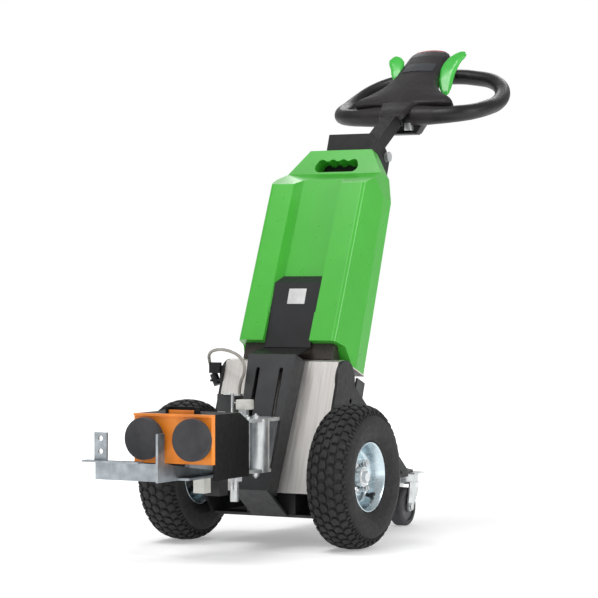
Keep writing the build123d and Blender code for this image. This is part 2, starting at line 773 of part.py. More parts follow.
def coupling_mount():
    """Zinc bracket on the column, its flanges, guide tubes and the king bolt."""
    face = COLUMN_FRONT - SEAT_GAP
    y_high = lean_y(face, FLANGE_HIGH)
    y_low = lean_y(face, FLANGE_LOW)
    plate = side_profile(
        [
            (y_low - 5, FLANGE_LOW),
            (y_low, FLANGE_LOW),
            (y_high, FLANGE_HIGH),
            (y_high - 5, FLANGE_HIGH),
        ],
        -BRACKET_HALF + 4,
        BRACKET_HALF - 4,
    )
    for z0, y_back in ((FLANGE_LOW, y_low - 2), (FLANGE_HIGH - FLANGE_T, y_high - 4)):
        flange = plan_profile(
            [
                (-BRACKET_HALF, y_back),
                (-BRACKET_HALF, GUIDE_Y - 14),
                (-20, BRACKET_NOSE),
                (20, BRACKET_NOSE),
                (BRACKET_HALF, GUIDE_Y - 14),
                (BRACKET_HALF, y_back),
            ],
            z0,
            z0 + FLANGE_T,
        )
        plate += flange
    for x in (-GUIDE_X, GUIDE_X):
        plate += rod_z(GUIDE_R, x, GUIDE_Y, FLANGE_LOW + 1, FLANGE_HIGH - 1)
    plate -= LEANED * box(-200, 200, COLUMN_FRONT - SEAT_GAP, 100, 0, 500)
    plate -= rod_z(KING_R + SEAT_GAP, 0, KING_Y, FLANGE_LOW - 5, FLANGE_HIGH + 5)
    keep("coupling_bracket", plate)

    bolt = rod_z(KING_R, 0, KING_Y, KING_LOW, FLANGE_HIGH + SEAT_GAP)
    bolt += hex_z(26, 0, KING_Y, FLANGE_HIGH + SEAT_GAP, FLANGE_HIGH + 11)
    bolt += hex_z(26, 0, KING_Y, FLANGE_LOW - 14, FLANGE_LOW - SEAT_GAP)
    keep("king_bolt", bolt)


def coupling():
    lug_low = FLANGE_LOW + FLANGE_T + SEAT_GAP
    lug_high = FLANGE_HIGH - FLANGE_T - SEAT_GAP
    arm = rod_z(17, 0, KING_Y, lug_low, lug_high)
    for z0, z1 in ((lug_low, lug_low + 10), (lug_high - 10, lug_high)):
        arm += plan_profile([(-17, KING_Y), (17, KING_Y), (36, HOUSING_BACK), (-36, HOUSING_BACK)], z0, z1)
    arm += box(-44, 44, HOUSING_BACK + SEAT_GAP, HOUSING_BACK + 6, lug_low, lug_high)
    arm -= box(-100, 100, -400, HOUSING_BACK + SEAT_GAP, 0, 400)
    arm -= rod_z(KING_R + RUNNING_GAP, 0, KING_Y, 0, 400)
    keep("swivel_arm", arm)

    front = HOUSING_FRONT + SEAT_GAP
    housing = side_profile(
        [
            (front, HOUSING_LOW),
            (HOUSING_BACK, HOUSING_LOW),
            (HOUSING_BACK, HOUSING_HIGH - 17),
            (HOUSING_BACK - 32, HOUSING_HIGH),
            (front, HOUSING_HIGH),
        ],
        -HOUSING_HALF,
        HOUSING_HALF,
    )
    housing -= box(-HOUSING_HALF + 4, HOUSING_HALF - 4, -400, 0, 0, HOUSING_CORE_LOW)
    housing -= box(-33, 33, front - 1, -284, HOUSING_HIGH - 8, HOUSING_HIGH + 1)
    keep("coupling_housing", housing)

    orange = box(-HOUSING_HALF, HOUSING_HALF, ORANGE_FRONT, HOUSING_FRONT, ORANGE_LOW, HOUSING_HIGH - 1)
    orange += box(-HOUSING_HALF, HOUSING_HALF, ORANGE_FRONT - 3, HOUSING_FRONT, HOUSING_HIGH - 4, HOUSING_HIGH)
    keep("coupling_front", orange)

    tab = box(-31, 31, -326, -322, HOUSING_HIGH - 8, HOUSING_HIGH + 11)
    tab += box(-31, 31, -326, -292, HOUSING_HIGH - 8, HOUSING_HIGH - 5)
    keep("release_tab", tab)

    for side, sign in (("left", -1), ("right", 1)):
        x = sign * PAD_X
        pad = rod_y(PAD_R, x, PAD_FRONT, PAD_FRONT + PAD_T, PAD_Z)
        pad = fillet(pad.edges().filter_by(GeomType.CIRCLE), 2)
        pad += rod_y(22, x, PAD_FRONT + PAD_T - 2, ORANGE_FRONT - SEAT_GAP, PAD_Z)
        keep(f"coupling_pad_{side}", pad)

    foot_high = FLANGE_LOW + FLANGE_T
    hook = side_profile(
        [
            (HOOK_FRONT, 140),
            (-218, 140),
            (-218, 150),
            (ORANGE_FRONT - 2, 166),
            (HOOK_FRONT, 177),
        ],
        0,
        HOOK_T,
    )
    hook += box(-25, 25, -330, -172, foot_high - 4, foot_high)
    hook += box(HOOK_LEFT, HOOK_RIGHT, HOOK_FRONT, HOOK_FRONT + HOOK_T, 142, 172)
    hook += box(HOOK_LEFT - 18, HOOK_RIGHT - 30, LENGTH_FRONT, HOOK_FRONT + HOOK_T, 172, 175)
    hook += box(-122, -97, HOOK_FRONT, HOOK_FRONT + HOOK_T, 172, 222)
    hook += box(0, HOOK_T, HOOK_FRONT, HOOK_FRONT + 22, 160, 222)
    for z in (190, 212):
        hook -= rod_y(4.5, -109.5, HOOK_FRONT - 10, HOOK_FRONT + 20, z)
    keep("hook_bracket", hook)

    keep("sensor_block", box(-11, 11, -254, -232, foot_high - 32, foot_high - 4))
    keep("lock_block", box(-16, 16, -210, -180, foot_high - 40, foot_high - 4))


def small_parts():
    """Gland, socket and its bracket, release plate and the cable, all on the left."""
    gland_y = lean_y(BOX_FRONT, GLAND_Z) - GLAND_OUT
    face = BOX_FRONT - SEAT_GAP
    ear_top = 249
    ear = LEANED * box(GLAND_X - 16, GLAND_X + 16, face - GLAND_OUT - 11, face, ear_top - 4, ear_top)
    ear += LEANED * box(GLAND_X - 16, GLAND_X + 16, face - 3, face, ear_top - 24, ear_top)
    keep("gland_bracket", ear)
    gland_top = GLAND_Z + 10
    gland = rod_z(7, GLAND_X, gland_y, GLAND_Z - 8, gland_top)
    gland -= LEANED * box(-200, 200, -200, 200, 0, ear_top)
    keep("cable_gland", gland)

    side = -SIDE_IN - SIDE_T
    socket_place = Pos(SOCKET_X, SOCKET_Y, SOCKET_Z) * Rot(0, -SOCKET_TILT, 0)
    socket = socket_place * Cylinder(SOCKET_R, SOCKET_LENGTH)
    keep("cable_socket", socket)
    outer = SOCKET_X - SOCKET_R + 1
    bracket = box(side - 4, side, SOCKET_Y - 6, SOCKET_Y + 14, SOCKET_Z - 12, SOCKET_Z + 26)
    bracket += box(outer, side, SOCKET_Y - 14, SOCKET_Y - 10, SOCKET_Z + 12, SOCKET_Z + 32)
    bracket += box(side - 4, side, SOCKET_Y - 14, SOCKET_Y - 6, SOCKET_Z + 12, SOCKET_Z + 32)
    bracket += box(outer, side, SOCKET_Y - 10, SOCKET_Y + 14, SOCKET_Z - 4, SOCKET_Z)
    bracket -= socket_place * Cylinder(SOCKET_R + SEAT_GAP, SOCKET_LENGTH + 20)
    keep("socket_bracket", bracket)

    lever = LEANED * box(-90, -58, face - 18, face - 14, 215, 240)
    lever += LEANED * box(-90, -58, face - 16, face, 211, 215)
    keep("release_plate", lever)

    # Cable from the gland's top, up in a bow and down into the socket's top
    tilt_x = sin(radians(SOCKET_TILT))
    tilt_z = cos(radians(SOCKET_TILT))
    end = (SOCKET_X - tilt_x * SOCKET_LENGTH / 2, SOCKET_Y, SOCKET_Z + tilt_z * SOCKET_LENGTH / 2)
    route = [
        (GLAND_X, gland_y, gland_top),
        (GLAND_X, gland_y, gland_top + 18),
        (GLAND_X + 24, gland_y - 19, gland_top + 44),
        (GLAND_X + 16, gland_y - 20, gland_top + 70),
        (GLAND_X - 34, gland_y + 2, gland_top + 83),
        (GLAND_X - 84, gland_y + 32, gland_top + 76),
        (end[0] - tilt_x * 20, SOCKET_Y, end[2] + tilt_z * 20),
        end,
    ]
    runs = [Vector(*b) - Vector(*a) for a, b in zip(route, route[1:])]
    radii = []
    for a, b in zip(runs, runs[1:]):
        half_turn = radians(a.get_angle(b) / 2)
        radii.append(0.45 * min(a.length, b.length) / tan(half_turn))
    path = FilletPolyline(*route, radius=radii)
    start = Plane(origin=route[0], z_dir=(0, 0, 1))
    keep("cable", sweep(start * Circle(CABLE_D / 2), path=path))
    print("cable radii", [round(r, 1) for r in radii], "length", round(path.length, 1))
    print("cable route", [tuple(round(c, 1) for c in p) for p in route])


base_frame()
side_plates()
rear_panel()
mast()
front_column()
box_skin()
drive_unit()
battery()
drive_wheels()
castors()
cover()
front_panel()
tiller()
coupling_mount()
coupling()
small_parts()

for name, shape in built.items():
    export_step(Pos(0, -MIDDLE_Y, 0) * shape, f"parts/{name}.step")
print("nodes", len(built), "middle", MIDDLE_Y)
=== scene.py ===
import bpy
import bmesh
import math
import random
from mathutils import Matrix, Vector


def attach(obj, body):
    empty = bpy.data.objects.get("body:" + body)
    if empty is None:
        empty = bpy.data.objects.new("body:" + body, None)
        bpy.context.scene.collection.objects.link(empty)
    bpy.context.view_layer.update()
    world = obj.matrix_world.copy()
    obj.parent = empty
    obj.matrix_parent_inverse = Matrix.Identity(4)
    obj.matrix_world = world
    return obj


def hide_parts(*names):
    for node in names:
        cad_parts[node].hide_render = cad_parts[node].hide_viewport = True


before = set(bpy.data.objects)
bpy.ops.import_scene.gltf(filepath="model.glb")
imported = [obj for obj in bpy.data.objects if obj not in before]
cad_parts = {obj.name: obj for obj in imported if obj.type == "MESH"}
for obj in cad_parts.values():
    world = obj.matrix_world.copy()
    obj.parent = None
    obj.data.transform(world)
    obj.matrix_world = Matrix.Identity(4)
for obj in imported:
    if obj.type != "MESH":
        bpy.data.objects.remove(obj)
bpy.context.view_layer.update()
random.seed(7)

# Sizes of the part, in millimetres from the point on the floor under the wheel axle
MIDDLE_Y = 184.0
LEAN = math.radians(20.0)
TRACK = 346.0
TYRE_R = 130.0
AXLE_Z = TYRE_R
SIDES = (("left", -1), ("right", 1))


def at(x, y, z):
    """A point given in millimetres from the axle point, in metres in the shared frame."""
    return Vector((x, y - MIDDLE_Y, z)) / 1000


def leaned(x, n, v):
    """A point of the leaned mast frame: n back from the axle point, v up the mast."""
    y = n * math.cos(LEAN) + v * math.sin(LEAN)
    z = -n * math.sin(LEAN) + v * math.cos(LEAN)
    return at(x, y, z)


# Materials


class Finish:
    """A node material with helpers that link colour, roughness and bump."""

    def __init__(self, name, color, rough, metallic=0.0, coat=0.0):
        self.mat = bpy.data.materials.new(name)
        self.mat.use_nodes = True
        self.nodes = self.mat.node_tree.nodes
        self.links = self.mat.node_tree.links
        self.bsdf = self.nodes["Principled BSDF"]
        self.bsdf.inputs["Base Color"].default_value = (*color, 1)
        self.bsdf.inputs["Roughness"].default_value = rough
        self.bsdf.inputs["Metallic"].default_value = metallic
        self.bsdf.inputs["Coat Weight"].default_value = coat
        self.bsdf.inputs["Coat Roughness"].default_value = 0.12
        self.coords = self.nodes.new("ShaderNodeTexCoord")
        self.color = color
        self.last_bump = None

    def mapping(self, scale=(1, 1, 1)):
        node = self.nodes.new("ShaderNodeMapping")
        node.inputs["Scale"].default_value = scale
        self.links.new(self.coords.outputs["Object"], node.inputs["Vector"])
        return node.outputs[0]

    def noise(self, scale, detail, stretch=(1, 1, 1), rough=0.55):
        node = self.nodes.new("ShaderNodeTexNoise")
        node.inputs["Scale"].default_value = scale
        node.inputs["Detail"].default_value = detail
        node.inputs["Roughness"].default_value = rough
        self.links.new(self.mapping(stretch), node.inputs["Vector"])
        return node.outputs["Fac"]

    def cells(self, scale, feature="F1"):
        node = self.nodes.new("ShaderNodeTexVoronoi")
        node.feature = feature
        node.inputs["Scale"].default_value = scale
        self.links.new(self.mapping(), node.inputs["Vector"])
        return node.outputs["Distance"]

    def ramp(self, value, low, high, out_low=0.0, out_high=1.0):
        node = self.nodes.new("ShaderNodeMapRange")
        node.inputs["From Min"].default_value = low
        node.inputs["From Max"].default_value = high
        node.inputs["To Min"].default_value = out_low
        node.inputs["To Max"].default_value = out_high
        self.links.new(value, node.inputs["Value"])
        return node.outputs["Result"]

    def tint(self, value, darker, lighter):
        """Mixes the base colour between a darker and a lighter shade of it by value."""
        node = self.nodes.new("ShaderNodeMix")
        node.data_type = "RGBA"
        node.inputs["A"].default_value = (*[min(1, c * darker) for c in self.color], 1)
        node.inputs["B"].default_value = (*[min(1, c * lighter) for c in self.color], 1)
        self.links.new(value, node.inputs["Factor"])
        self.links.new(node.outputs["Result"], self.bsdf.inputs["Base Color"])

    def rough(self, value, low, high):
        self.links.new(self.ramp(value, 0.3, 0.7, low, high), self.bsdf.inputs["Roughness"])

    def bump(self, value, height_mm, strength):
        node = self.nodes.new("ShaderNodeBump")
        node.inputs["Distance"].default_value = height_mm / 1000
        node.inputs["Strength"].default_value = strength
        self.links.new(value, node.inputs["Height"])
        if self.last_bump:
            self.links.new(self.last_bump.outputs[0], node.inputs["Normal"])
        self.links.new(node.outputs[0], self.bsdf.inputs["Normal"])
        self.last_bump = node


def moulded_green(name, color):
    f = Finish(name, color, 0.3, coat=0.25)
    broad = f.noise(9, 2)
    fine = f.noise(900, 2)
    f.tint(f.ramp(broad, 0.3, 0.7), 0.95, 1.05)
    f.rough(f.noise(60, 4), 0.27, 0.36)
    f.bump(fine, 0.02, 0.06)
    f.bump(broad, 0.5, 0.12)
    return f


def powder_coat(name, color, grain_mm=0.10, shine=0.5):
    f = Finish(name, color, 0.48)
    f.bsdf.inputs["Specular IOR Level"].default_value = shine
    speck = f.noise(1400, 2)
    f.tint(f.ramp(f.noise(28, 4), 0.3, 0.7), 0.88, 1.14)
    f.rough(f.noise(90, 3), 0.40, 0.58)
    f.bump(speck, grain_mm, 0.6)
    return f


def brushed(name, color, stretch, rough):
    f = Finish(name, color, 0.3, metallic=1.0)
    grain = f.noise(260, 5, stretch=stretch, rough=0.7)
    f.tint(f.ramp(grain, 0.25, 0.75), 0.86, 1.1)
    f.rough(grain, *rough)
    f.bump(grain, 0.03, 0.5)
    return f


def zinc_plate(name, color, rough, cloud, metallic=1.0):
    f = Finish(name, color, 0.26, metallic=metallic)
    spangle = f.cells(95)
    clouds = f.noise(45, 4)
    f.tint(f.ramp(clouds, 0.32, 0.68), cloud, 1.12)
    f.rough(f.noise(70, 5), *rough)
    f.bump(spangle, 0.06, 0.25)
    f.bump(f.noise(500, 3), 0.04, 0.4)
    return f


def moulded_rubber(name, color, grain_mm=0.12, rough=(0.62, 0.82)):
    f = Finish(name, color, 0.7)
    f.tint(f.ramp(f.noise(22, 5), 0.3, 0.7), 0.75, 1.3)
    f.rough(f.noise(120, 4), *rough)
    f.bump(f.noise(650, 4), grain_mm, 0.6)
    return f


def grained_plastic(name, color, cell=520, grain_mm=0.18, rough=(0.42, 0.58), shine=0.5):
    """Moulded plastic with a leather-like grain."""
    f = Finish(name, color, 0.5)
    f.bsdf.inputs["Specular IOR Level"].default_value = shine
    grain = f.cells(cell, "SMOOTH_F1")
    f.tint(f.ramp(f.noise(30, 3), 0.3, 0.7), 0.85, 1.18)
    f.rough(f.noise(140, 3), *rough)
    f.bump(grain, grain_mm, 0.5)
    return f


green = moulded_green("cover_green", (0.058, 0.44, 0.036))
lever_green = moulded_green("lever_green", (0.045, 0.50, 0.050))
frame_grey = powder_coat("frame_powder_grey", (0.044, 0.045, 0.047), 0.10, 0.4)
panel_black = powder_coat("panel_powder_black", (0.020, 0.020, 0.022), 0.10, 0.3)
mast_black = powder_coat("mast_powder_black", (0.011, 0.0105, 0.011), 0.10, 0.3)
housing_black = powder_coat("housing_powder_black", (0.005, 0.0045, 0.005), 0.14, 0.2)
orange = powder_coat("orange_powder", (1.0, 0.27, 0.022), 0.05)
orange.bsdf.inputs["Coat Weight"].default_value = 0.2
stainless = brushed("stainless_brushed", (0.80, 0.77, 0.74), (1, 0.03, 0.03), (0.38, 0.52))
zinc = zinc_plate("zinc_plated", (0.70, 0.72, 0.73), (0.26, 0.46), 0.80, 0.8)
galvanised = zinc_plate("galvanised_plate", (0.44, 0.48, 0.51), (0.36, 0.54), 0.72)
rim_zinc = zinc_plate("rim_blue_zinc", (0.62, 0.73, 0.78), (0.20, 0.34), 0.88)
cast = powder_coat("cast_grey", (0.03, 0.03, 0.032), 0.3)
tyre_rubber = moulded_rubber("tyre_rubber", (0.015, 0.0145, 0.015))
castor_rubber = moulded_rubber("castor_rubber", (0.05, 0.05, 0.055))
castor_plastic = grained_plastic("castor_plastic", (0.09, 0.09, 0.10))
disc_rubber = moulded_rubber("disc_rubber", (0.045, 0.045, 0.05), 0.10, (0.7, 0.85))
grip = grained_plastic(
    "grip_rubber", (0.009, 0.0085, 0.009), 700, 0.10, (0.34, 0.5), 0.4)
head_plastic = grained_plastic(
    "head_plastic", (0.020, 0.0175, 0.019), 420, 0.16, (0.38, 0.52), 0.3)
black_plastic = grained_plastic("black_plastic", (0.018, 0.018, 0.020), 800, 0.06)
red_plastic = grained_plastic("red_plastic", (0.38, 0.012, 0.014), 900, 0.03, (0.3, 0.4))
plate_pale = grained_plastic("plate_pale", (0.66, 0.66, 0.66), 900, 0.02, (0.35, 0.45))
plate_dark = grained_plastic("plate_dark", (0.03, 0.035, 0.04), 900, 0.02, (0.2, 0.3))
block_pale = grained_plastic("block_pale", (0.70, 0.69, 0.64), 900, 0.03)
cable_sheath = moulded_rubber("cable_sheath", (0.33, 0.31, 0.28), 0.04, (0.45, 0.6))
battery_case = grained_plastic("battery_case", (0.035, 0.028, 0.024), 700, 0.05, (0.25, 0.4))

NODE_FINISH = {
    "base_frame": frame_grey,
    "side_plate_left": panel_black,
    "side_plate_right": panel_black,
    "rear_panel": frame_grey,
    "front_column": frame_grey,
    "release_plate": frame_grey,
    "rear_mast": mast_black,
    "gland_bracket": mast_black,
    "socket_bracket": mast_black,
    "front_panel": panel_black,
    "stem": mast_black,
    "box_skin": stainless,
    "drive_unit": cast,
    "battery_pack": battery_case,
    "cover": green,
    "blank_plate": plate_pale,
    "sensor_block": block_pale,
    "tiller_head": head_plastic,
    "tiller_ring": grip,
    "coupling_housing": housing_black,
    "cable_socket": black_plastic,
    "lock_block": black_plastic,
    "switch_strip": red_plastic,
    "coupling_front": orange,
    "release_tab": orange,
    "coupling_pad_left": disc_rubber,
    "coupling_pad_right": disc_rubber,
    "pivot_bolt": zinc,
    "king_bolt": zinc,
    "coupling_bracket": zinc,
    "swivel_arm": galvanised,
    "hook_bracket": galvanised,
    "head_mount": mast_black,
    "cable_gland": zinc,
    "thumb_lever_left": lever_green,
    "thumb_lever_right": lever_green,
    "rim_left": rim_zinc,
    "rim_right": rim_zinc,
    "hub_left": zinc,
    "hub_right": zinc,
    "castor_top_left": zinc,
    "castor_top_right": zinc,
    "castor_fork_left": zinc,
    "castor_fork_right": zinc,
    "castor_tyre_left": castor_rubber,
    "castor_tyre_right": castor_rubber,
    "castor_core_left": castor_plastic,
    "castor_core_right": castor_plastic,
}


def node_object(name):
    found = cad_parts[name]
    return found if isinstance(found, bpy.types.Object) else bpy.data.objects[name]


def put_material(obj, finish):
    obj.data.materials.clear()
    obj.data.materials.append(finish.mat)


for name, finish in NODE_FINISH.items():
    put_material(node_object(name), finish)


ROUNDED_ABOVE = math.radians(25)


def round_edges(name, width_mm, segments):
    """Rounds a carried-over node's edges with a bevel, its mesh left as it is."""
    obj = node_object(name)
    bevel = obj.modifiers.new("rounded", "BEVEL")
    bevel.width = width_mm / 1000
    bevel.segments = segments
    bevel.limit_method = "ANGLE"
    bevel.angle_limit = ROUNDED_ABOVE
    bevel.harden_normals = True
    bevel.use_clamp_overlap = True


# Mesh helpers


def mesh_object(name, bm, finish, body, smooth_angle=35):
    """An object of bm in one finish, or in a list of them, that rides on body."""
    mesh = bpy.data.meshes.new(name)
    bmesh.ops.recalc_face_normals(bm, faces=bm.faces)
    bm.to_mesh(mesh)
    bm.free()
    mesh.shade_smooth()
    mesh.set_sharp_from_angle(angle=math.radians(smooth_angle))
    obj = bpy.data.objects.new(name, mesh)
    bpy.context.scene.collection.objects.link(obj)
    for f in finish if isinstance(finish, (list, tuple)) else [finish]:
        obj.data.materials.append(f.mat)
    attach(obj, body)
    return obj


def frame_of(axis):
    """Two unit vectors square to axis, and axis itself, as a matrix's columns."""
    w = Vector(axis).normalized()
    helper = Vector((0, 0, 1)) if abs(w.z) < 0.9 else Vector((1, 0, 0))
    u = w.cross(helper).normalized()
    v = w.cross(u).normalized()
    return Matrix((u, v, w)).transposed()


def skin(bm, rings, caps=True, closed=False):
    """Faces between neighbouring rings; caps fill the ends, closed joins the last to the first."""
    pairs = list(zip(rings, rings[1:]))
    if closed:
        pairs.append((rings[-1], rings[0]))
    for low, high in pairs:
        for i in range(len(low)):
            j = (i + 1) % len(low)
            bm.faces.new((low[i], low[j], high[j], high[i]))
    if caps:
        bm.faces.new(rings[0])
        bm.faces.new(rings[-1])


def lathe(bm, centre, axis, profile, segments, caps=True):
    """Turns (distance along axis, radius) points, in millimetres, about axis at centre."""
    turn = frame_of(axis)
    rings = []
    for along, radius in profile:
        ring = []
        for i in range(segments):
            a = 2 * math.pi * i / segments
            local = Vector((radius * math.cos(a), radius * math.sin(a), along)) / 1000
            ring.append(bm.verts.new(Vector(centre) + turn @ local))
        rings.append(ring)
    skin(bm, rings, caps)


HEX_CHAMFER = 0.8


def hex_prism(bm, centre, axis, across, low, high, turn_by):
    """A hexagon from low to high along axis, across its flats in millimetres, chamfered at high."""
    turn = frame_of(axis)
    radius = across / 2 / math.cos(math.pi / 6)
    rings = []
    for along, r in (
        (low, radius),
        (high - HEX_CHAMFER, radius),
        (high, radius - HEX_CHAMFER * 1.4),
    ):
        ring = []
        for i in range(6):
            a = turn_by + math.pi * i / 3
            local = Vector((r * math.cos(a), r * math.sin(a), along)) / 1000
            ring.append(bm.verts.new(Vector(centre) + turn @ local))
        rings.append(ring)
    skin(bm, rings)


WASHER_T = 1.6
THREAD_PITCH = 1.25


def hex_bolt(bm, centre, axis, across, stub):
    """Washer, hex nut and a stub of thread, standing on a face at centre."""
    r = across * 0.66
    washer = [(0, r - 0.3), (0.3, r), (WASHER_T - 0.3, r), (WASHER_T, r - 0.3)]
    lathe(bm, centre, axis, washer, 24)
    top = WASHER_T + across * 0.5
    hex_prism(bm, centre, axis, across, WASHER_T, top, random.random())
    r = across * 0.3
    profile = []
    turns = max(2, int(stub / THREAD_PITCH))
    for i in range(turns):
        z = top + i * THREAD_PITCH
        profile += [(z, r), (z + 0.6, r - 0.55)]
    profile.append((top + turns * THREAD_PITCH, r - 0.8))
    lathe(bm, centre, axis, profile, 16)


SCREW_R = 5.0
SCREW_H = 2.6


def button_screw(bm, centre, axis):
    """Domed socket screw with its recess as a small sunk ring."""
    dome = [(0, 1), (0.35, 0.97), (0.75, 0.78), (1, 0.5), (0.55, 0.42)]
    profile = [(SCREW_H * h, SCREW_R * r) for h, r in dome]
    lathe(bm, centre, axis, profile + [(SCREW_H * 0.5, 0.2)], 24)


# Drive tyres: carcass with block tread and shoulder ribs

TREAD_DEPTH = 4.2
PITCHES = 42
CARCASS_STEPS = 168
SECTION_STEPS = 34
SECTION_LENGTH = 96.0
TREAD_EDGE = 44
TREAD_FADE = 7
BEAD = (26.6, 63.5)

# Outer line of the tyre's section: lateral offset and radius, from crown to bead
TYRE_SECTION = [
    (0, TYRE_R),
    (6, 129.8),
    (12, 129.15),
    (18, 128.0),
    (25, 126.0),
    (30, 123.0),
    (34.5, 119.0),
    (38, 113.5),
    (40.5, 107.0),
    (42, 100.0),
    (42.2, 93.0),
    (41.9, 86.0),
    (40, 78.5),
    (37, 72.0),
    (33.4, 67.0),
    (31.0, 63.6),
]

# Lugs as (along, across) outlines: the tread's scales, the shoulder's lugs and the side ribs
SCALE_LUG = [
    (-7.4, -4.6), (-5.4, 0), (-7.4, 4.6), (-3.4, 6.9), (2.6, 6.4),
    (6.4, 3.6), (7.9, 0), (6.4, -3.6), (2.6, -6.4), (-3.4, -6.9),
]
SHOULDER_LUG = [
    (-6.6, -5.2), (-5.0, 1), (-6.2, 6.5), (3.4, 7.6), (6.6, 3.6), (7.2, -1.2), (3.0, -6.2),
]
RIB = [(-3.4, -4.4), (-1.6, 4.8), (1.6, 4.8), (3.4, -4.4)]


def section_at(s):
    """Point and outward normal of the section at arc length s from the crown, on both sides."""
    line = TYRE_SECTION
    side = 1 if s >= 0 else -1
    left = abs(s)
    for a, b in zip(line, line[1:]):
        run = math.dist(a, b)
        if left <= run or b == line[-1]:
            t = min(1.0, left / run)
            x = a[0] + (b[0] - a[0]) * t
            r = a[1] + (b[1] - a[1]) * t
            nx, nr = -(b[1] - a[1]) / run, (b[0] - a[0]) / run
            return (side * x, r), (side * nx, nr)
        left -= run


def tyre(name, x0, body, node, forward):
    """forward is the way the tread's arrows point round the wheel."""
    bm = bmesh.new()
    centre = at(x0, 0, AXLE_Z)

    def place(lateral, radius, angle):
        y = radius * math.sin(angle)
        z = radius * math.cos(angle)
        return centre + Vector((lateral, y, z)) / 1000

    # Carcass, with two fine rings on its wall
    half = []
    for i in range(SECTION_STEPS + 1):
        s = SECTION_LENGTH * i / SECTION_STEPS
        (x, r), (nx, nr) = section_at(s)
        sink = TREAD_DEPTH * (1 - min(1, max(0, (s - TREAD_EDGE) / TREAD_FADE)))
        if 60 < s < 62.5 or 78 < s < 80:
            sink -= 0.5
        half.append((x - nx * sink, r - nr * sink))
    bead_x, bead_r = BEAD
    profile = [(-x, r) for x, r in reversed(half)] + half[1:]
    profile = [(-bead_x, bead_r)] + profile + [(bead_x, bead_r)]
    rings = []
    for j in range(CARCASS_STEPS):
        a = 2 * math.pi * j / CARCASS_STEPS
        rings.append([bm.verts.new(place(x, r, a)) for x, r in profile])
    skin(bm, rings, caps=False, closed=True)

    def lug(angle, s, outline, tip=0.0):
        """A lug: (along, across) outline in mm about angle and arc length s."""
        bottom, mid, top = [], [], []
        levels = ((bottom, -TREAD_DEPTH - 1.0, 1.08), (mid, -0.9 - tip, 1.0), (top, -tip, 0.80))
        cu = sum(p[0] for p in outline) / len(outline)
        cv = sum(p[1] for p in outline) / len(outline)
        for u, v in outline:
            for ring, out, grow in levels:
                uu = cu + (u - cu) * grow
                vv = cv + (v - cv) * grow
                (x, r), (nx, nr) = section_at(s + vv)
                lateral = x + nx * out
                radius = r + nr * out
                ring.append(bm.verts.new(place(lateral, radius, angle + forward * uu / TYRE_R)))
        skin(bm, [bottom, mid, top], caps=False)
        (x, r), (nx, nr) = section_at(s + cv)
        crown = bm.verts.new(place(x - nx * tip, r - nr * tip, angle + forward * cu / TYRE_R))
        for i in range(len(outline)):
            bm.faces.new((top[i], top[(i + 1) % len(outline)], crown))

    pitch = 2 * math.pi / PITCHES
    for i in range(PITCHES):
        a = i * pitch
        lug(a, 0, SCALE_LUG)
        for side in (-1, 1):
            lug(a + pitch / 2, side * 15.2, [(u, side * v) for u, v in SCALE_LUG])
            lug(a, side * 30.0, [(u, side * v) for u, v in SHOULDER_LUG])
            lug(a + pitch * 0.5, side * 42.5, [(u, side * v) for u, v in RIB], 0.4)
            lug(a, side * 46.5, [(u * 0.7, side * v) for u, v in RIB], 1.2)
    obj = mesh_object(name, bm, tyre_rubber, body, 40)
    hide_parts(node)


tyre("tyre_tread_left", -TRACK / 2, "wheel_left", "tyre_left", 1)
tyre("tyre_tread_right", TRACK / 2, "wheel_right", "tyre_right", 1)

# Wheels: pressed rim with rolled edges, wheel bolts, hub cap with its nut, and the valve.
# The rim's outline is one loop of (out from the wheel's middle, radius) points.

RIM_ROLL_R = 1.7
RIM_ROLL = [
    (29.8 + RIM_ROLL_R * math.sin(a), 61.4 + RIM_ROLL_R * math.cos(a))
    for a in (math.radians(-70 + 25 * i) for i in range(9))
]
RIM_BOWL = [
    (28.4, 58.6), (25.5, 56.2), (21.0, 53.6), (16.0, 51.6), (10.0, 50.2), (6.0, 48.4), (3.6, 45.6),
]
RIM_DISH = [
    (3.4, 42.5), (5.0, 39.0), (8.0, 36.5), (9.4, 33.0), (9.0, 28.5), (7.4, 25.8), (7.2, 24.1),
]
RIM_BACK = [
    (4.4, 24.1), (4.6, 26.5), (6.0, 29.5), (6.2, 32.5), (4.8, 35.0), (2.0, 37.5), (0.4, 42.0),
    (0.4, 46.5),
]
RIM_BARREL = [(-26.5, 60.2), (-20.0, 55.8), (0.0, 53.0), (20.0, 55.8), (26.5, 60.2)]
RIM_LINE = (
    RIM_ROLL + RIM_BOWL + RIM_DISH + RIM_BACK
    + [(-x, r) for x, r in reversed(RIM_BOWL[:5])]
    + [(-x, r) for x, r in reversed(RIM_ROLL)]
    + RIM_BARREL
)
WHEEL_BOLTS = 4
BOLT_CIRCLE_R = 31.5
HUB_CAP = [(19.5, 15.5), (20.6, 15.5), (21.4, 14.5), (21.4, 6), (23.8, 5.4), (24.4, 4.2)]
VALVE = [(0, 4.2), (2, 4.0), (4, 3.0), (9, 2.8), (10, 3.5), (16, 3.4), (17, 3)]

